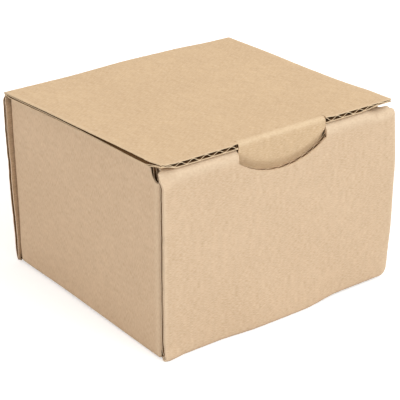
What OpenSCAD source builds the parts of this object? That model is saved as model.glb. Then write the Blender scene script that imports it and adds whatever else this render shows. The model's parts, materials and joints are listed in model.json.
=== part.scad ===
// Small die-cut mailing box of single-wall corrugated board, closed.
// One blank is folded up into a tray with a lid along its rear edge. The front
// wall rolls over the front corner tabs, and the lid's tongue is tucked behind
// the outer front ply, where a crescent notch leaves it in reach of a thumb.
// X runs along the front, Y from the front to the rear, Z up.
// The origin is on the floor under the middle of the box.

/* [Box] */
// Width of the front and rear panels
panel_w = 127; // [110:1:180]
// Depth from the front face to the rear face
box_d = 116.5; // [95:0.5:180]
// Height of the lid's outer face at the rear
rear_h = 84.2; // [65:0.1:140]
// How much higher the lid lies at the front, on the rolled front wall
lid_rise = 2.6; // [0:0.1:5]

/* [Board] */
// Thickness of the corrugated board
board_t = 2.8; // [2:0.1:4]
// Thickness of each liner
liner_t = 0.4; // [0.25:0.05:0.6]
// Thickness of the fluted paper, measured square to the liners
medium_t = 0.42; // [0.3:0.02:0.6]
// Length of one flute
flute_pitch = 6.3; // [4.5:0.1:8]
// Outer radius of a crease
fold_r = 1.9; // [0.8:0.1:2]
// Length of crushed board beside a crease, where no flute is open
crease_l = 5; // [3:0.5:9]
// Clearance between layers that lie on each other
layer_gap = 0.3; // [0.2:0.05:0.5]

/* [Side panels] */
// How far the side panels stand in from the ends of the front and rear panels
side_inset = 2.2; // [1:0.1:5]
// Length of the relief in each side panel's upper front corner
relief_l = 5; // [3:0.5:8]
// Height of that relief
relief_h = 6; // [4:0.5:10]
// Radius of each side panel's upper rear corner
side_rear_r = 2.6; // [1:0.1:5]

/* [Corner tabs] */
// Length of a corner tab, from the side panel's outer face
tab_l = 34; // [15:1:36]
// How far a tab's upper edge lies below the side panel's
tab_drop = 7; // [3:0.5:12]
// How far a tab's lower edge lies above the inner face of the base
tab_lift = 1.5; // [0.5:0.1:5]
// How far the bevels at a tab's free end lean in
tab_taper = 4; // [1:0.5:8]
// Height of the bevel at the top of a tab's free end
tab_bevel_h = 8; // [4:0.5:12]

/* [Rolled front wall] */
// Free width between the outer and the inner front ply
ply_gap = 4; // [3.8:0.1:6]
// Thickness of the board where the rolled top is crushed
crush_t = 1.3; // [0.9:0.1:1.8]
// Height of the crushed zone on the outer ply
crush_h = 5.7; // [5:0.1:9]
// Outer radius of the rolled top at the front
roll_r = 3.6; // [2.5:0.1:4]
// Outer radius of the rolled top at the inside of the box
inner_roll_r = 2.4; // [1.9:0.1:3]
// Height over which the crushed board grows back to its full thickness
crush_taper = 1.8; // [1:0.1:2]
// Width of each lock tab under the inner ply
lock_w = 20; // [10:1:24]
// Distance of each lock tab's middle from the middle of the box
lock_x = 33; // [28:1:38]

/* [Outer corners] */
// Rounding of the lower corners of the front and rear panels
ear_r = 4.5; // [1:0.1:8]
// Rounding of the front panel's lower left corner, which is cut sharper
sharp_ear_r = 0.8; // [0.3:0.1:4]
// Rounding of the front panel's upper corners
shoulder_r = 2; // [0.5:0.1:3]

/* [Thumb notch] */
// Width of the notch
notch_w = 47; // [40:1:50]
// Height of the notch's straight sides below the rolled top
notch_side = 5.6; // [4:0.1:8]
// Height of the crescent under the straight sides
notch_sag = 7.7; // [5:0.1:9]

/* [Lid] */
// Width of the lid at the rear crease
lid_rear_w = 126; // [108:1:180]
// Width of the lid at its front edge
lid_front_w = 123; // [105:1:178]
// How far the lid's front edge lies behind the front face
lid_setback = 0.6; // [0.3:0.1:2]
// Rounding of the lid's rear corners, seen from above
lid_rear_r = 3; // [1:0.1:6]
// Shift of the lid's flutes along the front edge
lid_flute_shift = 1.3; // [0:0.1:6]

/* [Tongue] */
// Width of the tongue
tongue_w = 45.4; // [36:0.2:48]
// How far the tongue reaches below the crescent
tongue_hold = 3.8; // [2:0.1:5]
// Radius of the tongue's lower corners
tongue_r = 9; // [3:0.5:9]
// Clearance between the tongue and the outer front ply behind the notch
tongue_clear = 0.65; // [0.6:0.05:0.8]

/* [Hidden] */
$fn = 64;

// A cut reaches this far past the face it goes through
cut = 1;
kraft = [0.82, 0.69, 0.53];
kraft_lid = [0.85, 0.73, 0.57];

front_y = -box_d / 2;
rear_y = box_d / 2;
side_x = panel_w / 2 - side_inset;
inner_x = side_x - board_t;
wall_w = 2 * board_t + ply_gap;
inner_front_y = front_y + wall_w;

// The lid turns about the outer upper edge of the rear panel
hinge_z = rear_h - board_t;
lid_tilt = atan(lid_rise / box_d);
function under_lid(y) = hinge_z + (rear_y - y) * tan(lid_tilt);

roll_top = under_lid(inner_front_y) - layer_gap;
crush_z = roll_top - crush_h;
notch_z = roll_top - notch_side;
notch_low_z = notch_z - notch_sag;
crescent_facets = 160;
tongue_tip_z = notch_low_z - tongue_hold;

// The fluted paper swings between the liners as a cosine wave
flute_half = medium_t / 2;
flute_seat = 0.06;
flute_amp = board_t / 2 - liner_t - flute_half + flute_seat;
hollow_angle = acos((flute_amp - flute_seat) / flute_amp);
hollow_w = flute_pitch * (1 - hollow_angle / 180);
hollow_steps = 8;

// One hollow of the section, under the liner at y = board_t, centred on x = 0
module hollow() {
    swing = 180 - hollow_angle;
    polygon([for (i = [0:hollow_steps])
        let (a = -swing + 2 * swing * i / hollow_steps)
        [a / 360 * flute_pitch, board_t / 2 + flute_half - flute_amp * cos(a)]]);
}

// Hollows of a board whose section lies along x, from y = 0 to board_t. Those
// on both sides of the fluted paper are drawn where the middle is in the span.
module hollows(from, to, shift = 0) {
    first = floor((from - shift) / flute_pitch) - 1;
    last = ceil((to - shift) / flute_pitch) + 1;
    for (k = [first:last]) {
        upper_x = shift + k * flute_pitch;
        lower_x = upper_x + flute_pitch / 2;
        if (upper_x > from && upper_x < to)
            translate([upper_x, 0]) hollow();
        if (lower_x > from && lower_x < to)
            translate([lower_x, board_t]) mirror([0, 1]) hollow();
    }
}

// Section in X and Z, drawn out along +Y
module along_y(l) {
    translate([0, l, 0]) rotate([90, 0, 0]) linear_extrude(l) children();
}

// Section in Y and Z, drawn out along +X
module along_x(l) {
    rotate([90, 0, 90]) linear_extrude(l) children();
}

// Section with x up and y along X, drawn out along +Y
module rows_along_y(l) {
    rotate([-90, 0, 0]) rotate([0, 0, -90]) linear_extrude(l) children();
}

// Section with x up and y along Y, drawn out along +X
module rows_along_x(l) {
    translate([l, 0, 0]) rotate([0, -90, 0]) linear_extrude(l) children();
}

// Section of a crease, a square whose outer corner at the origin is rounded
module crease_section() {
    translate([fold_r, fold_r]) circle(fold_r);
    translate([fold_r, 0]) square([board_t - fold_r, board_t]);
    translate([0, fold_r]) square([board_t, board_t - fold_r]);
}

// Upright panel in X and Z with its own radius at each corner
module panel_outline(w, z0, z1, r_low_left, r_low_right, r_top) {
    hull() {
        translate([-w / 2 + r_low_left, z0 + r_low_left]) circle(r_low_left);
        translate([w / 2 - r_low_right, z0 + r_low_right]) circle(r_low_right);
        translate([-w / 2 + r_top, z1 - r_top]) circle(r_top);
        translate([w / 2 - r_top, z1 - r_top]) circle(r_top);
    }
}

// Notch for the thumb, seen from the front
module notch_outline() {
    half_w = notch_w / 2;
    crescent_r = (half_w * half_w + notch_sag * notch_sag) / (2 * notch_sag);
    translate([-half_w, notch_z]) square([notch_w, notch_side + board_t]);
    intersection() {
        translate([0, notch_low_z + crescent_r]) circle(crescent_r, $fn = crescent_facets);
        translate([-half_w, notch_low_z - cut]) square([notch_w, notch_sag + cut]);
    }
}

// Rolled top of the front wall in Y and Z, from ply to ply over the crushed zone.
// The inner ply keeps its full thickness up to its crease.
module roll_section() {
    y1 = wall_w;
    outer_c = [roll_r, roll_top - roll_r];
    inner_c = [y1 - inner_roll_r, roll_top - inner_roll_r];
    steps = 10;
    polygon(concat(
        [[0, crush_z]],
        [for (i = [0:steps]) outer_c + roll_r * [-cos(90 * i / steps), sin(90 * i / steps)]],
        [for (i = [0:steps]) inner_c + inner_roll_r * [sin(90 * i / steps), cos(90 * i / steps)]],
        [[y1, crush_z], [y1 - board_t, crush_z],
         [y1 - board_t, inner_c[1]], [inner_c[0], roll_top - crush_t]],
        [for (i = [0:steps]) outer_c
            + (roll_r - crush_t) * [-sin(90 * i / steps), cos(90 * i / steps)]],
        [[crush_t, crush_z + crush_taper], [board_t, crush_z]]
    ));
}

module rolled_top() {
    inner_w = 2 * (inner_x - layer_gap);
    translate([-inner_w / 2, front_y, 0]) along_x(inner_w) roll_section();
    intersection() {
        translate([-panel_w / 2, front_y, 0]) along_x(panel_w) intersection() {
            roll_section();
            translate([-cut, crush_z]) square([roll_r + cut, crush_h + cut]);
        }
        translate([0, front_y - cut, 0]) along_y(wall_w + cut)
            panel_outline(panel_w, 0, roll_top, sharp_ear_r, ear_r, shoulder_r);
    }
}

// Flutes that the notch and the raw side edges lay open, in a ply of the front
// wall that starts at y = 0
module notch_flutes() {
    translate([0, 0, board_t]) linear_extrude(crush_z - board_t - cut)
        hollows(-notch_w / 2, notch_w / 2);
}

module edge_flutes(w, z0, z1) {
    translate([0, 0, z0]) linear_extrude(z1 - z0) {
        hollows(-w / 2 - hollow_w / 2, -w / 2 + hollow_w / 2);
        hollows(w / 2 - hollow_w / 2, w / 2 + hollow_w / 2);
    }
}

module outer_ply() {
    translate([0, front_y, 0]) difference() {
        intersection() {
            translate([-panel_w / 2, 0, 0]) cube([panel_w, board_t, crush_z]);
            translate([0, -cut, 0]) along_y(board_t + 2 * cut)
                panel_outline(panel_w, 0, roll_top, sharp_ear_r, ear_r, shoulder_r);
        }
        notch_flutes();
        edge_flutes(panel_w, -cut, crush_z - cut);
        translate([-side_x, -cut, -cut]) cube([2 * side_x, board_t + 2 * cut, board_t + cut]);
    }
}

module inner_ply() {
    inner_w = 2 * (inner_x - layer_gap);
    low_z = board_t + layer_gap;
    translate([0, inner_front_y - board_t, 0]) difference() {
        union() {
            translate([-inner_w / 2, 0, low_z]) cube([inner_w, board_t, crush_z - low_z]);
            for (s = [-1, 1])
                translate([s * lock_x - lock_w / 2, 0, layer_gap])
                    cube([lock_w, board_t, board_t + layer_gap]);
        }
        notch_flutes();
    }
}

module front_wall() {
    difference() {
        union() {
            outer_ply();
            inner_ply();
            rolled_top();
        }
        translate([0, front_y - cut, 0]) along_y(wall_w + 2 * cut) notch_outline();
    }
    translate([-side_x, front_y, 0]) along_x(2 * side_x) crease_section();
}

module rear_wall() {
    top_z = hinge_z - layer_gap;
    translate([0, rear_y - board_t, 0]) difference() {
        intersection() {
            translate([-panel_w / 2, 0, 0]) cube([panel_w, board_t, top_z]);
            translate([0, -cut, 0]) along_y(board_t + 2 * cut)
                panel_outline(panel_w, 0, top_z + shoulder_r, ear_r, ear_r, shoulder_r);
        }
        edge_flutes(panel_w, -cut, top_z - crease_l);
        translate([-side_x, -cut, -cut]) cube([2 * side_x, board_t + 2 * cut, board_t + cut]);
    }
    translate([-side_x, rear_y, 0]) mirror([0, 1, 0]) along_x(2 * side_x) crease_section();
}

module base() {
    slot_clear = layer_gap;
    difference() {
        translate([-inner_x, front_y + board_t, 0])
            cube([2 * inner_x, box_d - 2 * board_t, board_t]);
        for (s = [-1, 1])
            translate([s * lock_x - lock_w / 2 - slot_clear,
                       inner_front_y - board_t - slot_clear, -cut])
                cube([lock_w + 2 * slot_clear, board_t + 2 * slot_clear, board_t + 2 * cut]);
    }
}

// Corner tab in X and Z, from the crease at x = 0 to its free end
module tab_outline(h) {
    l = tab_l - board_t;
    polygon([[0, 0], [l - tab_taper, 0], [l, tab_taper],
             [l, h - tab_bevel_h], [l - tab_taper, h], [0, h]]);
}

// Corner tab with its crease, its outer face at y = 0 and its free end along +X
module corner_tab(h) {
    difference() {
        along_y(board_t) tab_outline(h);
        translate([crease_l, 0, 0]) rows_along_x(tab_l) hollows(0, h);
    }
}

module side_outline() {
    y0 = front_y + board_t + layer_gap;
    y1 = rear_y - board_t - layer_gap;
    r = side_rear_r;
    difference() {
        polygon([[y0, 0], [y1, 0], [y1, under_lid(y1) - layer_gap], [y0, under_lid(y0) - layer_gap]]);
        // The relief is an ellipse-like bite that leaves room for the rolled top
        translate([y0, under_lid(y0)]) scale([relief_l / relief_h, 1]) circle(relief_h);
        translate([y1 - r, under_lid(y1) - r]) difference() {
            square(r + cut);
            circle(r);
        }
    }
}

// Left side panel with its two tabs and its creases
module side_wall() {
    y0 = front_y + board_t + layer_gap;
    y1 = rear_y - board_t - layer_gap;
    tab_z = board_t + tab_lift;
    front_tab_h = under_lid(y0) - tab_drop - tab_z;
    rear_tab_h = under_lid(y1) - tab_drop - tab_z;
    top_z = under_lid(y0);
    difference() {
        translate([-side_x, 0, 0]) intersection() {
            along_x(board_t) side_outline();
            union() {
                translate([0, y0 - cut, board_t]) cube([board_t, y1 - y0 + 2 * cut, top_z]);
                translate([0, y0 - cut, 0]) along_y(y1 - y0 + 2 * cut) crease_section();
            }
            // The upright corners of the panel are creases too
            union() {
                translate([0, y0, 0]) linear_extrude(top_z) crease_section();
                translate([0, y1, 0]) mirror([0, 1, 0]) linear_extrude(top_z) crease_section();
                translate([0, y0 + board_t, 0]) cube([board_t, y1 - y0 - 2 * board_t, top_z]);
            }
        }
        translate([-side_x, y0 - cut, 0]) rows_along_y(y1 - y0 - crease_l)
            hollows(top_z - relief_h, top_z);
    }
    translate([-inner_x, y0, tab_z]) corner_tab(front_tab_h);
    translate([-inner_x, y1 - board_t, tab_z]) corner_tab(rear_tab_h);
}

module tray() {
    color(kraft) {
        base();
        front_wall();
        rear_wall();
        side_wall();
        mirror([1, 0, 0]) side_wall();
    }
}

// The lid is drawn flat, in a frame of its own: the hinge axis is its X axis and
// the front edge lies at -Y. This puts it in its place on the box.
module lid_place() {
    translate([0, rear_y, hinge_z]) rotate([-lid_tilt, 0, 0]) children();
}

// A point of the box in Y and Z, in the lid's own frame
function in_lid(p) =
    let (dy = p[0] - rear_y, dz = p[1] - hinge_z)
    [dy * cos(lid_tilt) - dz * sin(lid_tilt), dy * sin(lid_tilt) + dz * cos(lid_tilt)];

lid_front = -(box_d - lid_setback) / cos(lid_tilt);

// Lid seen from above, open where the tongue joins it
module lid_outline() {
    rear = -layer_gap;
    r = lid_rear_r;
    steps = 8;
    corner = [lid_rear_w / 2 - r, rear - r];
    difference() {
        polygon(concat(
            [[-lid_front_w / 2, lid_front], [lid_front_w / 2, lid_front]],
            [for (i = [0:steps]) corner + r * [cos(90 * i / steps), sin(90 * i / steps)]],
            [for (i = [0:steps])
                [-corner[0], corner[1]] + r * [-sin(90 * i / steps), cos(90 * i / steps)]]
        ));
        translate([-tongue_w / 2, lid_front - cut]) square([tongue_w, board_t + cut]);
    }
}

module lid_board() {
    flute_l = -lid_front - crease_l;
    span = lid_rear_w / 2 + hollow_w / 2;
    tongue_span = tongue_w / 2 + hollow_w / 2;
    difference() {
        linear_extrude(board_t) lid_outline();
        translate([0, lid_front - cut, 0]) along_y(flute_l + cut) {
            hollows(-span, -tongue_span, lid_flute_shift);
            hollows(tongue_span, span, lid_flute_shift);
        }
        // The outer liner is drawn round the rear crease
        translate([-lid_rear_w / 2 - cut, -layer_gap - fold_r, board_t - fold_r])
            along_x(lid_rear_w + 2 * cut) difference() {
                square(fold_r + cut);
                circle(fold_r);
            }
    }
}

// Tongue in the lid's own Y and Z, from the lid over its crease to the tip
module tongue_section() {
    face_y = front_y + board_t + tongue_clear;
    knee = in_lid([face_y, notch_z]);
    lean = atan((knee[0] - lid_front) / (board_t - knee[1]));
    crease_c = [lid_front + fold_r, board_t - fold_r];
    joint_y = lid_front + 2 * board_t;
    steps = 6;
    polygon(concat(
        [[joint_y, board_t]],
        [for (i = [0:steps]) let (a = (90 + lean) * i / steps)
            crease_c + fold_r * [-sin(a), cos(a)]],
        [knee, in_lid([face_y, tongue_tip_z]), in_lid([face_y + board_t, tongue_tip_z]),
         in_lid([face_y + board_t, notch_z + board_t * tan(lean / 2)]),
         [lid_front + board_t * tan(lean) + board_t / cos(lean), 0], [joint_y, 0]]
    ));
}

// What is cut away at the tongue's lower right corner, seen from the front. The
// arc leaves out its two end points, so that the cut crosses the tongue's side
// and tip at an angle and doesn't only touch them.
module tongue_corner() {
    r = tongue_r;
    c = [tongue_w / 2 - r, tongue_tip_z + r];
    steps = 12;
    polygon(concat(
        [[c[0] + r + cut, c[1]], [c[0] + r + cut, c[1] - r - cut], [c[0], c[1] - r - cut]],
        [for (i = [1:steps - 1]) c + r * [sin(90 * i / steps), -cos(90 * i / steps)]]
    ));
}

module tongue() {
    face_y = front_y + board_t + tongue_clear;
    difference() {
        translate([-tongue_w / 2, 0, 0]) along_x(tongue_w) tongue_section();
        // The corners and the open flutes are placed on the box
        rotate([lid_tilt, 0, 0]) translate([0, -rear_y, -hinge_z]) {
            translate([0, front_y - cut, 0]) along_y(wall_w + 2 * cut) {
                tongue_corner();
                mirror([1, 0]) tongue_corner();
            }
            translate([0, face_y, tongue_tip_z - cut]) linear_extrude(notch_z - tongue_tip_z)
                hollows(-tongue_w / 2, tongue_w / 2);
        }
    }
}

module lid() {
    color(kraft_lid) lid_place() {
        lid_board();
        tongue();
    }
}

tray();
lid();
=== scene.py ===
# Looks of a small die-cut mailing box of corrugated board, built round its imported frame.
# Each stretch of board is laid as its three papers, outer liner, fluted paper and
# inner liner, trimmed to the cut outline and folded along a path.
# Lengths are in millimetres up to the point where a mesh is made.
import json
import math

import bpy
import numpy as np
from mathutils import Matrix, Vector


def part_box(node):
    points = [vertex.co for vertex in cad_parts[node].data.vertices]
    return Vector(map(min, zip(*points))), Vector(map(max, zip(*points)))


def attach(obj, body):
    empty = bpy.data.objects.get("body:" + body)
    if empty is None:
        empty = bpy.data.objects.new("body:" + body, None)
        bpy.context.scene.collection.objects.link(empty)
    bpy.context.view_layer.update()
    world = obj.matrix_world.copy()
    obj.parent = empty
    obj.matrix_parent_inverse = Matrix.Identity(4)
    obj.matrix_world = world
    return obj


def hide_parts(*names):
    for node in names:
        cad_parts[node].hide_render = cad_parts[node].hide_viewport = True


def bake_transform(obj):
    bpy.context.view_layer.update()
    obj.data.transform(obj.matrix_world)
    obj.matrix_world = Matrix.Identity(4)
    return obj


MM = 0.001

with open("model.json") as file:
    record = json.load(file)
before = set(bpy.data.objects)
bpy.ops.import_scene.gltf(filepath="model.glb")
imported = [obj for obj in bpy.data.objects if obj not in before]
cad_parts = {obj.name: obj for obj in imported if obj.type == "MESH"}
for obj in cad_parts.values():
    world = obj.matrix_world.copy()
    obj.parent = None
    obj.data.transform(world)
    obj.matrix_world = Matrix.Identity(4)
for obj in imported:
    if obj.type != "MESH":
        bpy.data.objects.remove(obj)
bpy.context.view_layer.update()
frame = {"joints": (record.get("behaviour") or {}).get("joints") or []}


def node_box(name):
    low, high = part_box(name)
    return np.array(low) / MM, np.array(high) / MM


# Board. It is thinner at a fold, and full again a short way beside it
board_t = 2.8
liner_t = 0.4
medium_t = 0.3
pitch = 6.3
fold_r = 1.9
fold_t = 1.9
fold_fade = 3
layer_gap = 0.3
# Height of the ribs that the flutes leave on the outer liner
washboard = 0.02
# How far the fluted paper reaches into the liners
bond = 0.02
# Shares of crushed board: the most that a liner takes, and how far a pressed one goes in
liner_share = 0.32
press_share = 0.28
# Distances from a cut edge over which its wear fades, and the mark of the knife
wear_fade = (0.3, 1.6)
press_fade = (0.2, 1.5)
# How far a cut edge wanders, on a clean cut and on a rough one, and its two grains:
# share, length and place in the noise of each
clean_cut = 0.12
rough_cut = 0.2
cut_grains = ((0.6, 1.9, 0.5), (0.4, 0.8, 3.5))

# Grid: columns to a flute, and the distance between the two lines that a step in an outline takes
liner_columns = 6
wave_columns = 16
base_wave_columns = 12
hair = 0.02
# How far a grid reaches past the outline that it is clamped to
margin = 0.5
# The clamping leaves faces that aren't wanted: those narrower than the first of these,
# and those longer than the second, in diagonals of their grid cell
least_width = 0.75 * hair
most_diagonals = 4
# Edges that turn more than this, in degrees, stay sharp
sharp_turn = 40
# Factors that scatter the noise
scatter = (127.1, 311.7, 74.7, 43758.5453)

# Sizes that the frame gives
tray_low, tray_high = node_box("tray")
lid_high = node_box("lid")[1]
hinge_z = frame["joints"][0]["pos_m"][2] / MM
front_y = tray_low[1]
rear_y = tray_high[1]
roll_top = tray_high[2]
box_d = rear_y - front_y
lid_rise = lid_high[2] - hinge_z - board_t
lid_tilt = math.atan2(lid_rise, box_d)

# Along a wall's path, its height is the distance along it. The arc of the lower
# crease comes before that and starts under the base.
fold_start = fold_r - fold_r * math.pi / 2

# Side panels and corner tabs. Pairs in a dictionary are for the left panel, -1, and the right, 1
side_x = 61.3
inner_x = side_x - board_t
side_front_y = front_y + board_t + layer_gap
side_rear_y = rear_y - board_t - layer_gap
side_rear_r = 2.6
corner_low = 1.0
corner_fade = 2.5
tab_l = 34
tab_drop = 7
tab_lift = 1.5
tab_taper = 4
tab_bevel_h = 8
# Length and height of the cut-away front corner
relief = {-1: (5, 6), 1: (10, 7.5)}
# How far the panel swells outwards towards the rear, over two bands of height
swell = {-1: (0.55, 0.65), 1: (0, 0)}
swell_bands = ((0, 12), (30, 65))

# Front wall: outline
front_left = -60.7
front_right = 63.3
ear_r = 5.5
sharp_ear_r = 0.4
left_shoulder_r = 2.0
right_shoulder_r = 1.8
# The right edge bows out between these heights
bow = 1.7
bow_rise = (0, 30)
bow_fall = 54
lock_w = 20
lock_x = 33

# Front wall: roll
wall_w = 9.6
inner_front_y = front_y + wall_w
roll_r = 3.6
inner_roll_r = 2.4
crush_t = 1.3
crush_h = 5.7
crush_z = roll_top - crush_h
crush_taper = 1.8
# From the end of the roll, where the inner ply gets its thickness back
crush_release = (-0.3, 1.5)
# Size of the roll's crumples, their grain across and along, and their seed
crumples = ((0.12, 1.9, 2.6, 5), (0.1, 5.1, 7, 6))
# They start before the crushed part, are full past the roll's start and end past its end
crumple_rise = 3
crumple_full = 1
crumple_fall = 3
# Over this length past the outer turn, the wall gets as narrow as its inner ply
narrowing = 1

# Front wall: marks of use
# The roll's left end is dented, from a little under its start on
dent = 2.8
dent_w = 7.0
dent_crush = 0.5
dent_rise = (-3.4, 0.6)
dent_fall = 3
# The roll's right end droops, and less so at its very end
droop = 1.8
droop_x = (46, 54)
droop_z = 72
droop_ease = 0.3
droop_ease_x = (56, 61)
# The lower left corner is square: its foot reaches back and its toe forward
foot_l = 0.9
foot_x = (-60.1, -59.5)
toe_l = 0.9
toe_x = (-59, -50)
toe_rise = 0.3
toe_fall = 6

# Thumb notch
notch_w = 47
notch_side = 5.6
notch_sag = 7.7
notch_z = roll_top - notch_side
crescent_r = (notch_w**2 / 4 + notch_sag**2) / (2 * notch_sag)
# The knife crushed the outer ply along the notch, and pressed its liner in
notch_crush = 0.5
notch_fade = 3
notch_press = 0.4
# How far the notch's edge wanders, and how near to it a face is still kept
notch_ragged = 0.1
notch_margin = 0.15

# Rear wall
rear_half_w = 63.5
rear_ear_r = 0.8
rear_shoulder_r = 2
rear_shoulder_rise = 0.6
# The left edge draws in towards its foot, and stands out high up
ear_in = 1.4
ear_in_h = 45
ear_out = 0.6
ear_out_z = (45, 65)
# The foot of the left edge is bent in
ear_tuck = 1.2
ear_tuck_x = (-61.8, -60)
ear_tuck_h = 6
# From the upper end of the wall, where it thins towards the crease of the lid
rear_fold_rise = (-4, -1)
# Paper across that crease: how far it lies below the board's face, how far it laps over the
# board above and below, and how much shorter than the lid it is at the left and at the right
crease_t = 0.6
crease_sink = 0.01
crease_lap = 0.3
crease_inset = (0.6, 1)

# Lid: outline
lid_rear_left = -63.8
lid_rear_right = 62.4
lid_front_left = -61.6
lid_front_right = 61.0
lid_left_r = 0.8
lid_right_r = 3
lid_setback = 0.6
lid_front_ragged = 0.15
lid_l = (box_d - lid_setback) / math.cos(lid_tilt)
# The right edge is hollow, most of all nearer to the front
lid_hollow = 1.5
lid_hollow_power = 1.8
lid_flute_shift = 1.3
lid_crease_r = 2.0
lid_hinge_gap = 0.1
lid_fold_fade = (1, 5)

# Lid: marks of use. Spans are from the edge or the front that they name
lid_sink = 0.4
sink_from_front = (-14, -2)
sink_from_tongue = (0.5, 5)
lid_curl = 0.8
curl_w = 7
curl_l = 10
# The left edge is crushed towards the rear, and both front corners are
left_crush = 0.25
left_crush_w = (0.5, 5)
left_crush_l = (60, 100)
left_press = 0.3
left_press_l = (50, 90)
corner_crush = 0.33
left_corner_w = (3, 8)
right_corner_x = (42, 56)
corner_from_front = (-9, -1)
# The rear edge arches up over its middle: by how much over which stretch across
arch = ((0.95, (-35, 5)), (-0.65, (28, 52)))
arch_drop = 0.3
arch_l = (2, 45)

# Tongue
tongue_w = 46.4
tongue_slit = 0.3
tongue_slit_l = 1.2
tongue_hold = 3.8
tongue_r = 9
tongue_tip_z = notch_z - notch_sag - tongue_hold
tongue_crease = ((-3, 0), (5, 8))
tongue_crease_share = 0.8
# It goes in behind the outer ply at the notch's lower edge, and bends forward above that
tongue_gap = 0.35
tongue_bend_h = 5.5
tongue_bend_drop = 0.3
tucked_y = front_y + board_t - notch_crush + tongue_gap

# How high the walls stand off the ground, apart from the stretch of the lower edge
# that rests on it: the front wall up to right_off, and the foot of the rear wall's left end
lift = 1.0
off_ground_z = (0, 30)
right_off = (14, 34)
rear_off_x = (-63.2, -61.4)
rear_off_y = (-50, 10)
# The front wall's bulge over its lower edge
bulge = 1.5
bulge_rise_x = (-34, -12)
bulge_fall_x = (12, 36)
bulge_h = 35
bulge_y = (-56, -30)
# The walls and the lid are a little wavy, but not the walls near the hinge
wave = 0.2
wall_grain = (24, 19)
lid_grain = (27, 24)
hinge_calm_z = (58, 72)
hinge_calm_y = (0, 50)

# Wear of the paper at cut edges and folds, and painted highlight on the rolled top and along the tongue's
# crease, from 0 to 1
edge_wear = 0.7
lid_edge_wear = 0.6
lid_front_wear = 0.5
lid_front_wear_l = 1.4
fold_wear = 0.5
corner_wear = 0.6
corner_wear_fade = (1, 3.5)
# Painted highlight on the rolled top of the front wall, where it turns up towards the light
roll_highlight = 0.8
roll_highlight_rise = (-1, 2.5)
# Painted highlight along the tongue's crease
tongue_highlight = 0.8
tongue_highlight_rise = (-0.8, 1.0)
tongue_highlight_fall = (1.6, 4)

# Colours of the papers, and how strongly each kind of mark tints them
tray_tone = (0.675, 0.493, 0.328, 1)
tray_dark = (0.55, 0.385, 0.24, 1)
tray_pale = (0.80, 0.65, 0.475, 1)
lid_tone = (0.65, 0.465, 0.277, 1)
lid_dark = (0.53, 0.36, 0.21, 1)
lid_pale = (0.785, 0.63, 0.43, 1)
cut_grey = (0.55, 0.42, 0.29, 1)
# The fluted paper is painted near black: painted shade of the hollows between the flutes, darker than the
# paper itself
flute_painted_shade = (0.2, 0.095, 0.035, 1)
flute_painted_shade_dark = (0.12, 0.055, 0.02, 1)
flute_painted_shade_pale = (0.33, 0.2, 0.1, 1)
# The inner liner is darker: in part the tone of a test liner, in part painted shade, so that the rear
# wall's ear beside the left side panel looks shaded
inner_painted_shade = 0.66
cut_share = 1.2
cloud_tint = 0.35
mottle_tint = 0.68
fibre_tint = 0.66
speck_tint = 0.6
# Height of the paper's grain, shares of fibre and of fine grain in it, and how much
# the fine grain changes the roughness
bump_height = 0.06 * MM
fibre_height = 0.6
fine_height = 0.4
roughness_swing = 0.06

# Studio, in metres
floor_size = 4
floor_grey = (0.8, 0.8, 0.8, 1)
floor_glow = 0.45
sky_colour = (1, 0.94, 0.895, 1)
sky_strength = 0.94
key_place = (0.7, -1.7, 1.4)
key_size = 1.4
key_power = 19
key_colour = (0.9, 0.99, 1.04)
key_aim = (0, 0, 0.04)

# Camera
lens = 127.1
sensor = 36
eye = (-351.3, -461.7, 300.4 + lift)
aim = (1.35, 0, 33.93 + lift)


def under_lid(y):
    return hinge_z + (rear_y - y) * math.tan(lid_tilt)


def notch_edge(x):
    """Height of the thumb notch's lower edge."""
    bottom = crescent_r - notch_sag - np.sqrt(np.maximum(crescent_r**2 - x**2, 0))
    return notch_z + np.minimum(bottom, 0) + ragged(x, seed=3, size=notch_ragged)


def smooth(x, start, end):
    """0 before start, 1 after end, and an easy change in between."""
    t = np.clip((x - start) / (end - start), 0, 1)
    return t * t * (3 - 2 * t)


def fade(x, start, end):
    """1 before start, 0 after end, and an easy change in between."""
    return 1 - smooth(x, start, end)


def around(place, span):
    """A span that is given from a place."""
    return place + span[0], place + span[1]


def noise(x, y, seed):
    """Smooth noise from -1 to 1 that changes over a length of about 1."""
    xi, yi = np.floor(x), np.floor(y)
    fx, fy = smooth(x - xi, 0, 1), smooth(y - yi, 0, 1)

    def corner(i, j):
        by_x, by_y, by_seed, spread = scatter
        h = np.sin((xi + i) * by_x + (yi + j) * by_y + seed * by_seed) * spread
        return 2 * (h - np.floor(h)) - 1

    low = corner(0, 0) * (1 - fx) + corner(1, 0) * fx
    high = corner(0, 1) * (1 - fx) + corner(1, 1) * fx
    return low * (1 - fy) + high * fy


def ragged(x, seed, size=clean_cut):
    """How far a cut edge wanders, along the edge."""
    return size * sum(share * noise(x / grain, row, seed) for share, grain, row in cut_grains)


class Path:
    """A line in a plane, of stretches that each have a length and a turn in degrees.
    side is 1 where the board lies left of the line, and -1 where it lies right of it."""

    def __init__(self, start_at, start, heading, stretches, side):
        step = 0.02
        at, angle = [start_at], [math.radians(heading)]
        for length, turn in stretches:
            n = max(2, int(length / step))
            share = np.arange(1, n + 1) / n
            angle.extend(angle[-1] + math.radians(turn) * share)
            at.extend(at[-1] + length * share)
        self.at, self.angle, self.side = np.array(at), np.array(angle), side
        middle = (self.angle[1:] + self.angle[:-1]) / 2
        run = np.diff(self.at)
        self.a = start[0] + np.concatenate([[0], np.cumsum(np.cos(middle) * run)])
        self.b = start[1] + np.concatenate([[0], np.cumsum(np.sin(middle) * run)])
        self.end = self.at[-1]

    def sample(self, s):
        """The line's points at s, and the direction into the board there."""
        h = np.interp(s, self.at, self.angle)
        a, b = np.interp(s, self.at, self.a), np.interp(s, self.at, self.b)
        return a, b, -self.side * np.sin(h), self.side * np.cos(h)


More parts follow.
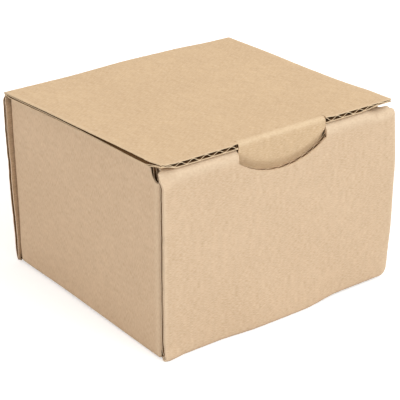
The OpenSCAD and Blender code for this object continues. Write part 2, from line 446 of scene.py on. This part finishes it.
def arc(radius, turn):
    return (radius * math.radians(abs(turn)), turn)


def lines(first, *stops):
    """Grid lines from first through the stops. A stop is its place and the spacing before it."""
    out = [first]
    for place, spacing in stops:
        start = out[-1]
        n = max(1, round((place - start) / spacing))
        out.extend(start + (place - start) * (i + 1) / n for i in range(n))
    return np.array(out)


def columns(low, high, per_pitch, shift=0.0, extra=()):
    """Grid lines at even shares of a flute, from low to high, with the extra ones among them."""
    step = pitch / per_pitch
    k = np.arange(math.floor((low - shift) / step), math.ceil((high - shift) / step) + 1)
    fixed = np.array([low, high, *extra])
    evenly = shift + k * step
    free = [x for x in evenly if low < x < high and np.abs(fixed - x).min() > step / 4]
    return np.array(sorted([*fixed, *free]))


def trim(us, ss, cut, gone):
    """The grid of columns us and rows ss, clamped to the cut outline: its points and its faces."""
    u, s = cut(*np.meshgrid(us, ss, indexing="ij"))
    keys = np.round(np.stack([u, s], -1).reshape(-1, 2), 4)
    points, index = np.unique(keys, axis=0, return_inverse=True)
    index = index.reshape(u.shape)
    quads = np.stack([index[:-1, :-1], index[1:, :-1], index[1:, 1:], index[:-1, 1:]], -1)
    quads = quads.reshape(-1, 4)
    p = points[quads]
    across, along = p[:, 2] - p[:, 0], p[:, 3] - p[:, 1]
    area = np.abs(across[:, 0] * along[:, 1] - across[:, 1] * along[:, 0]) / 2
    longest = np.linalg.norm(p - np.roll(p, 1, axis=1), axis=2).max(1)
    middle = p.mean(1)
    cell = np.hypot(*np.meshgrid(np.diff(us), np.diff(ss), indexing="ij")).ravel()
    flattened = area < least_width * longest
    stretched = longest > most_diagonals * cell
    keep = ~flattened & ~stretched & ~gone(middle[:, 0], middle[:, 1])
    return points, [list(dict.fromkeys(q)) for q in quads[keep].tolist()]


def rim_edges(faces):
    """The edges that only one face has, in that face's direction."""
    edges = {(a, b) for f in faces for a, b in zip(f, f[1:] + f[:1])}
    return sorted(e for e in edges if e[::-1] not in edges)


def nowhere(u, s):
    return np.zeros(len(u), bool)


# FLUTE faces take the flute material, which is painted shade
OUTER, INNER, CUT, FLUTE = range(4)


class Sheet:
    """Collects the papers of one stretch of board and makes their mesh.
    offset gives the sheet a place of its own in the pattern of the paper."""

    def __init__(self, name, offset):
        self.name, self.offset = name, offset
        self.points, self.blank, self.wear_and_highlight = [], [], []
        self.faces, self.slots = [], []
        self.count = 0

    def paper(self, grid, place, depths, wear_and_highlight, slots):
        """A closed shell between two depths. slots are those of its outer face, inner face and rim."""
        points, faces = grid
        u, s = points.T
        top, low = (place(u, s, depth(u, s)) for depth in depths)
        a, b, c = faces[len(faces) // 2][:3]
        flip = np.dot(np.cross(top[b] - top[a], top[c] - top[a]), top[a] - low[a]) < 0
        n = len(points)
        rim = rim_edges(faces)
        made = faces + [[i + n for i in f[::-1]] for f in faces]
        made += [[b, a, a + n, b + n] for a, b in rim]
        if flip:
            made = [f[::-1] for f in made]
        self.faces += [[i + self.count for i in f] for f in made]
        self.slots += [slots[0]] * len(faces) + [slots[1]] * len(faces) + [slots[2]] * len(rim)
        self.points += [top, low]
        self.blank += [np.stack([u, s, depth(u, s) + self.offset], -1) for depth in depths]
        self.wear_and_highlight += [wear_and_highlight(u, s)] * 2
        self.count += 2 * n

    def board(self, grids, cut, place, thickness, wear_and_highlight,
              shift=0.0, gone=nowhere, pressed=nowhere):
        """The three papers. grids are the columns and rows of the liners and of the fluted paper.
        pressed is 1 where the knife has pushed the outer liner into the flutes."""

        def ribs(u, s):
            return washboard * np.cos(2 * np.pi * (u - shift) / pitch)

        def liner(u, s):
            return np.minimum(liner_t, liner_share * thickness(u, s))

        def outer_side(u, s):
            return liner(u, s) + press_share * thickness(u, s) * pressed(u, s)

        def swing(u, s):
            low, high = outer_side(u, s), thickness(u, s) - liner(u, s)
            reach = np.maximum((high - low - medium_t) / 2 + bond, 0)
            return (low + high) / 2 + reach * np.cos(2 * np.pi * (u - shift) / pitch)

        def outer_liner(u, s):
            return ribs(u, s) + outer_side(u, s)

        def inner_liner(u, s):
            return thickness(u, s) - liner(u, s)

        def medium_low(u, s):
            return swing(u, s) - medium_t / 2

        def medium_high(u, s):
            return swing(u, s) + medium_t / 2

        flat = trim(*grids[0], cut, gone)
        fluted = trim(*grids[1], cut, gone)
        self.paper(flat, place, (ribs, outer_liner), wear_and_highlight, (OUTER, FLUTE, CUT))
        self.paper(flat, place, (inner_liner, thickness), wear_and_highlight, (FLUTE, INNER, CUT))
        self.paper(fluted, place, (medium_low, medium_high), wear_and_highlight, (FLUTE, FLUTE, CUT))

    def finish(self, materials, warp):
        mesh = bpy.data.meshes.new(self.name)
        mesh.from_pydata((warp(np.concatenate(self.points)) * MM).tolist(), [], self.faces)
        for m in materials:
            mesh.materials.append(m)
        mesh.polygons.foreach_set("material_index", self.slots)
        blank = mesh.attributes.new("blank", "FLOAT_VECTOR", "POINT")
        blank.data.foreach_set("vector", np.concatenate(self.blank).astype(np.float32).ravel())
        wear_and_highlight = mesh.attributes.new("wear_and_highlight", "FLOAT", "POINT")
        wear_and_highlight.data.foreach_set("value", np.concatenate(self.wear_and_highlight).astype(np.float32))
        mesh.shade_smooth()
        mesh.set_sharp_from_angle(angle=math.radians(sharp_turn))
        obj = bpy.data.objects.new(self.name, mesh)
        bpy.context.scene.collection.objects.link(obj)
        return obj


def drawn_in(z, low, high, r_low, r_high):
    """How far an upright edge draws in at its rounded lower and upper corner."""
    below = np.clip(low + r_low - z, 0, r_low)
    above = np.clip(z - (high - r_high), 0, r_high)
    return r_low - np.sqrt(r_low**2 - below**2) + r_high - np.sqrt(r_high**2 - above**2)


def front_wall():
    """Up the outer ply, over the rolled top and down the inner ply to the lock tabs."""
    ply_l = roll_top - inner_roll_r - layer_gap
    path = Path(fold_start, (front_y + fold_r, 0), 180,
                [arc(fold_r, -90), (roll_top - roll_r - fold_r, 0), arc(roll_r, -90),
                 (wall_w - roll_r - inner_roll_r, 0), arc(inner_roll_r, -90), (ply_l, 0)], side=-1)
    roll_start = roll_top - roll_r
    outer_arc_end = roll_start + roll_r * math.pi / 2
    roll_end = path.end - ply_l
    ply_end = path.end - board_t
    middle = (roll_start + roll_end) / 2

    def on_inner_ply(z):
        return roll_end + roll_top - inner_roll_r - z

    def dented(u, s):
        """The dent at the left end of the roll, from 0 to 1."""
        along = smooth(s, *around(roll_start, dent_rise)) * fade(s, outer_arc_end, roll_end + dent_fall)
        return along * fade(u, front_left, front_left + dent_w)

    def thickness(u, s):
        crushed = smooth(s, crush_z, crush_z + crush_taper) - smooth(s, *around(roll_end, crush_release))
        folded = fade(s, fold_r, fold_r + fold_fade)
        at_notch = in_notch(u) * smooth(s, notch_edge(u) - notch_fade, notch_edge(u))
        at_notch = at_notch * (1 - crushed) * (s < middle)
        return (board_t - (board_t - crush_t) * crushed - (board_t - fold_t) * folded
                - dent_crush * dented(u, s) - notch_crush * at_notch)

    def place(u, s, d):
        y, z, ny, nz = path.sample(s)
        rolled = (smooth(s, crush_z - crumple_rise, roll_start + crumple_full)
                  - smooth(s, roll_end, roll_end + crumple_fall))
        crumpled = sum(size * noise(u / across, s / along, seed)
                       for size, across, along, seed in crumples)
        d = d - rolled * crumpled
        sag = droop * (smooth(u, *droop_x) - droop_ease * smooth(u, *droop_ease_x))
        sag = sag * smooth(z, droop_z, roll_top)
        foot = foot_l * fade(s, fold_start, fold_r) * fade(u, *foot_x)
        toe = toe_l * (smooth(s, fold_start, toe_rise) - smooth(s, fold_r, toe_fall)) * fade(u, *toe_x)
        return np.stack([u, y + ny * d + dent * dented(u, s) + foot - toe, z + nz * d - sag], -1)

    def edges(s):
        left = front_left + drawn_in(s, fold_start, roll_top, sharp_ear_r, left_shoulder_r)
        right = front_right - drawn_in(s, 0, roll_top, ear_r, right_shoulder_r)
        right = right + bow * (smooth(s, *bow_rise) - smooth(s, bow_fall, roll_top))
        inner_w = inner_x - layer_gap
        inside = smooth(s, outer_arc_end, outer_arc_end + narrowing)
        return (left + (-inner_w - left) * inside + ragged(s, seed=1, size=rough_cut),
                right + (inner_w - right) * inside + ragged(s, seed=2))

    def notch(u):
        """Where the notch starts on the outer ply and ends on the inner ply."""
        return notch_edge(u), on_inner_ply(notch_edge(u))

    def in_notch(u):
        return np.abs(u) < notch_w / 2 - hair / 2

    def cut(u, s):
        u = np.clip(u, *edges(s))
        start, end = notch(u)
        locked = np.abs(np.abs(u) - lock_x) < lock_w / 2 + hair / 2
        s = np.where(locked, s, np.minimum(s, ply_end))
        notched = np.where(s < middle, np.minimum(s, start), np.maximum(s, end))
        return u, np.where(in_notch(u), notched, s)

    def gone(u, s):
        start, end = notch(u)
        return in_notch(u) & (s > start + notch_margin) & (s < end - notch_margin)

    def pressed(u, s):
        from_notch = np.where(in_notch(u), np.abs(notch_edge(u) - s), notch_w)
        return np.maximum(fade(u - edges(s)[0], *press_fade), notch_press * fade(from_notch, *press_fade))

    def wear_and_highlight(u, s):
        left, right = edges(s)
        # Painted highlight along the rolled top, beside the wear of the cut edges
        rolled = smooth(s, *around(crush_z, roll_highlight_rise)) * fade(s, middle, roll_end)
        edge = fade(np.minimum(u - left, right - u), *wear_fade)
        return np.maximum(roll_highlight * rolled, edge_wear * edge)

    # The sides of the lock tabs and of the notch are steps in the outline
    steps = [tab + side * (lock_w / 2 + e)
             for tab in (-lock_x, lock_x) for side in (-1, 1) for e in (0, hair)]
    steps += [side * (notch_w / 2 - e) for side in (-1, 1) for e in (0, hair)]
    low, high = front_left - margin, front_right + bow + margin
    rows = lines(fold_start, (fold_r, 0.7), (ear_r + 1, 1), (notch_z - notch_sag, 2.5),
                 (crush_z, 1.5), (roll_end + 3, 0.6), (ply_end, 3.5), (path.end, 1.4))
    wave_rows = lines(fold_start, (fold_r, 1.5), (notch_z - notch_sag, 6),
                      (crush_z, 1.5), (roll_end + 3, 1.2), (ply_end, 8), (path.end, 2.8))
    sheet = Sheet("front_wall", 0)
    sheet.board([(columns(low, high, liner_columns, extra=steps), rows),
                 (columns(low, high, wave_columns, extra=steps), wave_rows)],
                cut, place, thickness, wear_and_highlight, gone=gone, pressed=pressed)
    return sheet


def rear_wall():
    path = Path(fold_start, (rear_y - fold_r, 0), 0,
                [arc(fold_r, 90), (hinge_z - layer_gap - fold_r, 0)], side=1)

    def thickness(u, s):
        folded = fade(s, fold_r, fold_r + fold_fade) + smooth(s, *around(path.end, rear_fold_rise))
        return board_t - (board_t - fold_t) * folded

    def place(u, s, d):
        y, z, ny, nz = path.sample(s)
        tucked = ear_tuck * fade(u, *ear_tuck_x) * fade(z, 0, ear_tuck_h)
        return np.stack([u, y + ny * d - tucked, z + nz * d], -1)

    def edges(s):
        top = path.end + rear_shoulder_rise
        half = rear_half_w - drawn_in(s, 0, top, rear_ear_r, rear_shoulder_r)
        left = ear_in * fade(s, 0, ear_in_h) - ear_out * smooth(s, *ear_out_z) - half
        return left + ragged(s, seed=11, size=rough_cut), half + ragged(s, seed=12)

    def cut(u, s):
        return np.clip(u, *edges(s)), s

    def wear_and_highlight(u, s):
        left, right = edges(s)
        return edge_wear * fade(np.minimum(u - left, right - u), *wear_fade)

    high = rear_half_w + ear_out + margin
    rows = lines(fold_start, (fold_r, 0.7), (8, 1), (path.end, 1.5))
    wave_rows = lines(fold_start, (fold_r, 1.5), (path.end, 2.5))
    sheet = Sheet("rear_wall", 50)
    sheet.board([(columns(-high, high, liner_columns), rows),
                 (columns(-high, high, wave_columns), wave_rows)],
                cut, place, thickness, wear_and_highlight)
    return sheet


def base():
    """Between the creases, with two slots for the lock tabs."""
    half_w = side_x - fold_r
    y0, y1 = front_y + fold_r, rear_y - fold_r
    slot_w = lock_w / 2 + layer_gap
    slot_y0, slot_y1 = inner_front_y - board_t - layer_gap, inner_front_y + layer_gap

    def thickness(u, s):
        edge = np.minimum(np.minimum(s - y0, y1 - s), half_w - np.abs(u))
        return board_t - (board_t - fold_t) * fade(edge, 0, fold_fade)

    def place(u, s, d):
        return np.stack([u, s, d], -1)

    def cut(u, s):
        return u, s

    def gone(u, s):
        return (np.abs(np.abs(u) - lock_x) < slot_w) & (s > slot_y0) & (s < slot_y1)

    def wear_and_highlight(u, s):
        return fold_wear * fade(half_w - np.abs(u), 0, fold_fade)

    steps = [tab + side * slot_w for tab in (-lock_x, lock_x) for side in (-1, 1)]
    rows = lines(y0, (slot_y0, 2), (slot_y1, 1), (y1 - 4, 3), (y1, 1))
    sheet = Sheet("base", 100)
    sheet.board([(columns(-half_w, half_w, count, extra=steps), rows)
                 for count in (liner_columns, base_wave_columns)],
                cut, place, thickness, wear_and_highlight, gone=gone)
    return sheet


def side_wall(name, side, offset):
    """From the free end of the front tab, round the side panel, to the free end of the rear tab.
    u is the height and s is y on the panel. side is -1 for the left panel and 1 for the right."""
    relief_l, relief_h = relief[side]
    corner = fold_r * math.pi / 2
    flat_tab = tab_l - fold_r
    y0, y1 = side_front_y, side_rear_y
    start = y0 + fold_r - corner - flat_tab
    plan = Path(start, (tab_l - side_x, y0), 180,
                [(flat_tab, 0), arc(fold_r, -90), (y1 - y0 - 2 * fold_r, 0), arc(fold_r, -90),
                 (flat_tab, 0)], side=-1)
    sill = Path(fold_start, (fold_r, 0), 180, [arc(fold_r, -90), (roll_top, 0)], side=-1)
    tab_z = board_t + tab_lift
    panel_start, panel_end = y0 + fold_r, y1 - fold_r

    def thickness(u, s):
        folded = fade(u, fold_r, fold_r + fold_fade)
        for c in (panel_start - corner / 2, panel_end + corner / 2):
            folded = np.maximum(folded, fade(np.abs(s - c), corner / 2, corner / 2 + corner_fade))
        return board_t - (board_t - fold_t) * folded

    def place(u, s, d):
        x, y, nx, ny = plan.sample(s)
        in_off, z, n_off, nz = sill.sample(u)
        off = in_off + n_off * d
        swollen = sum(size * smooth(z, *band) for size, band in zip(swell[side], swell_bands))
        swollen = swollen * smooth(s, 0, y1)
        return np.stack([-side * (x + nx * off - swollen), y + ny * off, z + nz * d], -1)

    def limits(s):
        """Lower and upper edge."""
        on_panel = (s > panel_start - hair / 2) & (s < panel_end + hair / 2)
        on_corner = (s > y0 - hair / 2) & (s < y1 + hair / 2)
        from_end = np.minimum(s - plan.at[0], plan.end - s)
        taper = np.clip(tab_taper - from_end, 0, None)
        low = np.where(on_corner, corner_low, tab_z + taper)
        low = np.where(on_panel, fold_start, low)
        top = under_lid(np.clip(s, y0, y1)) - layer_gap
        reach = np.clip((s - y0) / relief_l, 0, 1)
        cut_away = (relief_h - layer_gap) * np.sqrt(1 - reach**2)
        inset = np.clip(s - (y1 - side_rear_r), 0, side_rear_r)
        rounding = side_rear_r - np.sqrt(side_rear_r**2 - inset**2)
        tab_top = top + layer_gap - tab_drop - taper * tab_bevel_h / tab_taper
        return low, np.where(on_corner, top - cut_away - rounding, tab_top) + ragged(s, seed=21 + side)

    def cut(u, s):
        return np.clip(u, *limits(s)), s

    def wear_and_highlight(u, s):
        edge = fade(limits(s)[1] - u, *wear_fade)
        upright = fade(np.abs(s - (panel_start - corner / 2)), *corner_wear_fade)
        return np.maximum(edge_wear * edge, corner_wear * upright)

    def rows(tab, panel, turn):
        """Rows with these spacings on the tabs, along the panel and in the turns."""
        return lines(start, (start + tab_taper, turn), (y0 - hair, tab), (y0, hair),
                     (panel_start - hair, turn), (panel_start, hair), (y0 + relief_l, turn),
                     (y1 - 4, panel), (panel_end, turn), (panel_end + hair, hair), (y1, turn),
                     (y1 + hair, hair), (plan.end - tab_taper, tab), (plan.end, turn))

    high = roll_top + 1
    sheet = Sheet(name, offset)
    sheet.board([(columns(fold_start, high, liner_columns, extra=(0, fold_r)), rows(2.5, 2, 0.8)),
                 (columns(fold_start, high, wave_columns), rows(6, 6, 1.6))],
                cut, place, thickness, wear_and_highlight)
    return sheet


def lid_point(u, q, h):
    """q runs from the hinge to the front along the lid's underside, h up from it."""
    return np.stack([u, rear_y - q * math.cos(lid_tilt) + h * math.sin(lid_tilt),
                     hinge_z + q * math.sin(lid_tilt) + h * math.cos(lid_tilt)], -1)


def lid():
    """From the rear crease over the top; the tongue goes on over its crease and down to its tip."""
    rear = [(board_t - lid_crease_r - layer_gap, 0), arc(lid_crease_r, -90)]
    start = lid_hinge_gap, layer_gap
    crease_q = lid_l - fold_r
    run = crease_q - start[0] - lid_crease_r
    down = 90 + math.degrees(lid_tilt)
    s0 = start[0] + lid_crease_r - sum(length for length, turn in rear)
    flat = Path(s0, start, 90, rear + [(run + fold_r + 1, 0)], side=-1)
    crease_end = roll_top + lid_sink
    bent = Path(s0, start, 90,
                rear + [(run, 0), arc(fold_r, -down), (crease_end - tongue_tip_z, 0)], side=-1)
    tip = bent.end
    slit_end = crease_q - tongue_slit_l
    half = tongue_w / 2

    def on_tongue(u):
        return np.abs(u) < half + tongue_slit / 2

    def edges(s):
        share = np.clip(s / lid_l, 0, 1)
        left_inset, right_inset = (np.clip(r - s, 0, r) for r in (lid_left_r, lid_right_r))
        left = lid_rear_left + (lid_front_left - lid_rear_left) * share
        right = lid_rear_right + (lid_front_right - lid_rear_right) * share
        right = right - lid_hollow * np.sin(np.pi * share**lid_hollow_power)
        return (left + lid_left_r - np.sqrt(lid_left_r**2 - left_inset**2) + ragged(s, seed=31),
                right - lid_right_r + np.sqrt(lid_right_r**2 - right_inset**2) + ragged(s, seed=32))

    def tongue_half(s):
        inset = np.clip(s - (tip - tongue_r), 0, tongue_r)
        return half - tongue_r + np.sqrt(tongue_r**2 - inset**2)

    def sunk(u, s):
        """How far the top lies lower along the front edge."""
        at_front = smooth(s, *around(lid_l, sink_from_front))
        return lid_sink * at_front * smooth(np.abs(u) - half, *sink_from_tongue)

    def thickness(u, s):
        from_left = u - edges(s)[0]
        at_left = left_crush * fade(from_left, *left_crush_w) * fade(s, *left_crush_l)
        corners = fade(from_left, *left_corner_w) + smooth(u, *right_corner_x)
        at_corner = corner_crush * (corners * smooth(s, *around(lid_l, corner_from_front)))
        crushed = 1 - (1 - at_left) * (1 - at_corner)
        rear_fold = fade(s, *lid_fold_fade)
        crease = np.subtract(*(smooth(s, *around(crease_q, span)) for span in tongue_crease))
        crease = tongue_crease_share * (crease * on_tongue(u))
        return board_t * (1 - crushed) - np.maximum(rear_fold, crease) * (board_t - fold_t) - sunk(u, s)

    def place(u, s, d):
        q, h, nq, nh = (np.where(on_tongue(u), b, a) for a, b in zip(flat.sample(s), bent.sample(s)))
        arched = (sum(size * smooth(u, *span) for size, span in arch) - arch_drop) * fade(s, *arch_l)
        curled = lid_curl * fade(u - edges(s)[0], 0, curl_w) * smooth(s, lid_l - curl_l, lid_l)
        p = lid_point(u, q + nq * d, h + nh * d - sunk(u, s) + arched + curled)
        bend_low = notch_edge(u) - tongue_bend_drop
        tucked = fade(p[:, 2], bend_low, bend_low + tongue_bend_h)
        p[:, 1] += (tucked_y - front_y - lid_setback) * tucked * (on_tongue(u) & (s > crease_q))
        return p

    def cut(u, s):
        u = np.clip(u, *edges(s))
        s = np.where(on_tongue(u), s, np.minimum(s, lid_l + ragged(u, seed=33, size=lid_front_ragged)))
        reach = tongue_half(s)
        return np.where(on_tongue(u) & (s > lid_l), np.clip(u, -reach, reach), u), s

    def gone(u, s):
        return (np.abs(np.abs(u) - half - tongue_slit / 2) < tongue_slit / 2) & (s > slit_end)

    def pressed(u, s):
        return left_press * fade(u - edges(s)[0], *press_fade) * fade(s, *left_press_l)

    def wear_and_highlight(u, s):
        left, right = edges(s)
        edge = fade(np.minimum(u - left, right - u), *wear_fade)
        front = smooth(s, lid_l - lid_front_wear_l, lid_l) * (np.abs(u) > half)
        # Painted highlight along the tongue's crease, beside the wear of the cut edges and the front edge
        crease = np.subtract(*(smooth(s, *around(crease_q, span))
                               for span in (tongue_highlight_rise, tongue_highlight_fall)))
        crease = crease * (np.abs(u) < half)
        return np.maximum.reduce([lid_edge_wear * edge, lid_front_wear * front, tongue_highlight * crease])

    # The slits beside the tongue are steps in the outline
    steps = [side * (half + e) for side in (-1, 1) for e in (0, tongue_slit)]
    low, high = lid_rear_left - margin, lid_rear_right + margin
    rows = lines(s0, (lid_right_r, 0.6), (slit_end, 2.2), (crease_q, 0.6), (lid_l, 0.5),
                 (lid_l + 1, 0.5), (crease_q + 8, 0.6), (tip - tongue_r, 1.2), (tip, 0.8))
    wave_rows = lines(s0, (lid_right_r, 1.2), (slit_end, 7), (crease_q, 0.6), (lid_l, 0.8),
                      (lid_l + 1, 0.5), (crease_q + 8, 0.8), (tip, 1.2))
    sheet = Sheet("lid_board", 150)
    sheet.board([(columns(low, high, liner_columns, lid_flute_shift, steps), rows),
                 (columns(low, high, wave_columns, lid_flute_shift, steps), wave_rows)],
                cut, place, thickness, wear_and_highlight, shift=lid_flute_shift, gone=gone, pressed=pressed)
    return sheet


def rear_crease():
    """The outer paper that goes on from the rear wall to the lid."""
    low, high = hinge_z - layer_gap - crease_lap, hinge_z + layer_gap + crease_lap

    def place(u, s, d):
        return np.stack([u, rear_y - lid_hinge_gap * smooth(s, low, high) - d, s], -1)

    def cut(u, s):
        return u, s

    def depth(value):
        return lambda u, s: np.full(len(u), value)

    def wear_and_highlight(u, s):
        return np.full(len(u), fold_wear)

    at_left, at_right = crease_inset
    across = columns(lid_rear_left + at_left, lid_rear_right - at_right, liner_columns)
    grid = trim(across, lines(low, (high, 0.15)), cut, nowhere)
    sheet = Sheet("rear_crease", 50)
    sheet.paper(grid, place, (depth(crease_sink), depth(crease_t)), wear_and_highlight, (OUTER, INNER, CUT))
    return sheet


def tray_warp(p):
    """The slight bulges of the walls, and of the lower edge where it comes off the ground."""
    x, y, z = p.T
    at_rear = smooth(y, *rear_off_y) * smooth(x, *rear_off_x)
    off_ground = np.maximum.reduce([smooth(z, *off_ground_z), smooth(x, *right_off), at_rear])
    bulged = bulge * (smooth(x, *bulge_rise_x) - smooth(x, *bulge_fall_x))
    bulged = bulged * fade(z, 0, bulge_h) * fade(y, *bulge_y)
    below_hinge = 1 - smooth(z, *hinge_calm_z) * smooth(y, *hinge_calm_y)
    across, upright = wall_grain
    return np.stack([x + wave * noise(y / across, z / upright, 41),
                     y + wave * noise(x / across, z / upright, 42) * below_hinge - bulged,
                     np.maximum(z, 0) + lift * off_ground], -1)


def lid_warp(p):
    x, y, z = p.T
    across, along = lid_grain
    return np.stack([x, y, z + lift + wave * noise(x / across, y / along, 43)], -1)


class Graph:
    """Short calls for the nodes of one material. An input is given by its name, or as _0, _1
    and so on by its number."""

    def __init__(self, name):
        self.material = bpy.data.materials.new(name)
        self.material.use_nodes = True
        self.tree = self.material.node_tree
        self.tree.nodes.clear()

    def node(self, kind, settings=(), **inputs):
        n = self.tree.nodes.new(kind)
        for key, value in dict(settings).items():
            setattr(n, key, value)
        for key, value in inputs.items():
            socket = n.inputs[int(key[1:])] if key[0] == "_" else n.inputs[key.replace("_", " ")]
            if isinstance(value, bpy.types.NodeSocket):
                self.tree.links.new(value, socket)
            else:
                socket.default_value = value
        return n

    def noise(self, where, scale, detail=3.0, stretch=(1, 1, 1)):
        scaled = self.node("ShaderNodeVectorMath", {"operation": "MULTIPLY"}, _0=where, _1=stretch)
        n = self.node("ShaderNodeTexNoise", Vector=scaled.outputs[0], Scale=scale, Detail=detail)
        return n.outputs[0]

    def spread(self, value, low, high, to_low=0.0, to_high=1.0):
        """value, with the range from low to high spread from to_low to to_high."""
        n = self.node("ShaderNodeMapRange", {"clamp": True},
                      _0=value, _1=low, _2=high, _3=to_low, _4=to_high)
        return n.outputs[0]

    def mix(self, share, a, b):
        n = self.node("ShaderNodeMix", {"data_type": "RGBA"}, _0=share, _6=a, _7=b)
        return n.outputs[2]

    def math(self, operation, a, b):
        return self.node("ShaderNodeMath", {"operation": operation}, _0=a, _1=b).outputs[0]


def paper(name, tone, dark, pale, roughness, bumps, shine=0.22):
    """Kraft paper. tone is its colour, dark its cloudy places and specks, pale its worn places and its
    painted highlights.
    """
    g = Graph(name)
    blank = g.node("ShaderNodeAttribute", {"attribute_name": "blank"}).outputs["Vector"]
    wear_and_highlight = g.node("ShaderNodeAttribute", {"attribute_name": "wear_and_highlight"}).outputs["Fac"]
    cloud = g.spread(g.noise(blank, scale=0.035, detail=2.0), low=0.35, high=0.65)
    mottle = g.spread(g.noise(blank, scale=0.35, detail=4.0, stretch=(1, 0.6, 1)), low=0.3, high=0.7)
    fibre = g.spread(g.noise(blank, scale=1.6, stretch=(0.35, 2.2, 1)), low=0.35, high=0.68)
    speck = g.spread(g.noise(blank, scale=1.3, detail=1.0, stretch=(0.7, 1.6, 1)), low=0.70, high=0.78)
    wear_and_highlight_breakup = g.spread(g.noise(blank, scale=0.9), low=0.3, high=0.7, to_low=0.25, to_high=0.8)
    fine = g.noise(blank, scale=3.2, detail=2.0, stretch=(0.5, 1.6, 1))
    colour = g.mix(g.math("MULTIPLY", cloud, cloud_tint), tone, dark)
    colour = g.mix(g.math("MULTIPLY", mottle, mottle_tint), colour, dark)
    colour = g.mix(g.math("MULTIPLY", fibre, fibre_tint), colour, pale)
    colour = g.mix(g.math("MULTIPLY", speck, speck_tint), colour, dark)
    # Worn places, and painted highlights on the roll and the tongue's crease, turn pale
    colour = g.mix(g.math("MULTIPLY", wear_and_highlight, wear_and_highlight_breakup), colour, pale)
    height = g.math("ADD", g.math("MULTIPLY", fibre, fibre_height),
                    g.math("MULTIPLY", fine, fine_height))
    bump = g.node("ShaderNodeBump", Strength=bumps, Distance=bump_height, Height=height).outputs[0]
    rough = g.spread(fine, low=0.3, high=0.7, to_low=roughness - roughness_swing,
                     to_high=roughness + roughness_swing)
    shader = g.node("ShaderNodeBsdfPrincipled", Base_Color=colour, Roughness=rough, Normal=bump)
    shader.inputs["Specular IOR Level"].default_value = shine
    g.node("ShaderNodeOutputMaterial", Surface=shader.outputs[0])
    return g.material


def shaded(colour, share):
    return tuple(share * c for c in colour[:3]) + (1,)


def papers(name, tone, dark, pale):
    """The materials of a board: outer face, inner face, cut edge and flute. The inner face is darkened in
    part by painted shade, and the flute is painted near black as the shade in its hollows.
    """
    return [
        paper(name + "_outer", tone, dark, pale, roughness=0.84, bumps=0.5),
        # Inner face: tone darkened, partly by painted shade
        paper(name + "_inner", shaded(tone, inner_painted_shade), shaded(dark, inner_painted_shade), tone,
              roughness=0.88, bumps=0.5),
        paper(name + "_cut", shaded(tone, cut_share), cut_grey, pale, roughness=0.93, bumps=0.9),
        # Flute: painted shade of the hollows between the flutes
        paper(name + "_flute", flute_painted_shade, flute_painted_shade_dark, flute_painted_shade_pale, roughness=0.93, bumps=0.7, shine=0),
    ]


def floor():
    """A pale floor that keeps the shadow. Its glow is seen, but lights no matt surface."""
    corners = [(-floor_size, -floor_size, 0), (floor_size, -floor_size, 0),
               (floor_size, floor_size, 0), (-floor_size, floor_size, 0)]
    mesh = bpy.data.meshes.new("floor")
    mesh.from_pydata(corners, [], [(0, 1, 2, 3)])
    obj = bpy.data.objects.new("floor", mesh)
    bpy.context.scene.collection.objects.link(obj)
    g = Graph("floor_white")
    path = g.node("ShaderNodeLightPath").outputs
    seen = g.math("MAXIMUM", g.math("MAXIMUM", path["Is Camera Ray"], path["Is Glossy Ray"]),
                  path["Is Transmission Ray"])
    matt = g.node("ShaderNodeBsdfDiffuse", Color=floor_grey, Roughness=1.0)
    glow = g.node("ShaderNodeEmission", Color=(1, 1, 1, 1), Strength=g.math("MULTIPLY", seen, floor_glow))
    both = g.node("ShaderNodeAddShader", _0=matt.outputs[0], _1=glow.outputs[0])
    g.node("ShaderNodeOutputMaterial", Surface=both.outputs[0])
    mesh.materials.append(g.material)


def aimed(name, data, place, target):
    """An object for a lamp or a camera, that looks from place at target."""
    obj = bpy.data.objects.new(name, data)
    obj.location = place
    obj.rotation_euler = (Vector(target) - obj.location).to_track_quat("-Z", "Y").to_euler()
    bpy.context.scene.collection.objects.link(obj)
    return obj


def studio():
    """Even light from all round, and one large soft lamp."""
    world = bpy.data.worlds.new("studio")
    bpy.context.scene.world = world
    world.use_nodes = True
    back = world.node_tree.nodes["Background"]
    back.inputs["Color"].default_value = sky_colour
    back.inputs["Strength"].default_value = sky_strength
    key = bpy.data.lights.new("key", "AREA")
    key.shape, key.size, key.energy, key.color = "DISK", key_size, key_power, key_colour
    aimed("key", key, key_place, key_aim)
    bpy.context.scene.view_settings.view_transform = "Standard"


def camera():
    """The photograph's view: a long lens at the height of a standing person's eye."""
    data = bpy.data.cameras.new("camera")
    data.lens, data.sensor_width = lens, sensor
    bpy.context.scene.camera = aimed("camera", data, Vector(eye) * MM, Vector(aim) * MM)


tray_papers = papers("board", tray_tone, tray_dark, tray_pale)
lid_papers = papers("lid", lid_tone, lid_dark, lid_pale)

tray_sheets = [front_wall(), rear_wall(), base(),
               side_wall("side_left", -1, 200), side_wall("side_right", 1, 250)]
for sheet in tray_sheets:
    piece = sheet.finish(tray_papers, tray_warp)
    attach(piece, "tray")
    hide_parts("tray")

piece = lid().finish(lid_papers, lid_warp)
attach(piece, "lid")
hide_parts("lid")

piece = rear_crease().finish(tray_papers, tray_warp)
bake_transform(piece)

floor()
studio()
camera()
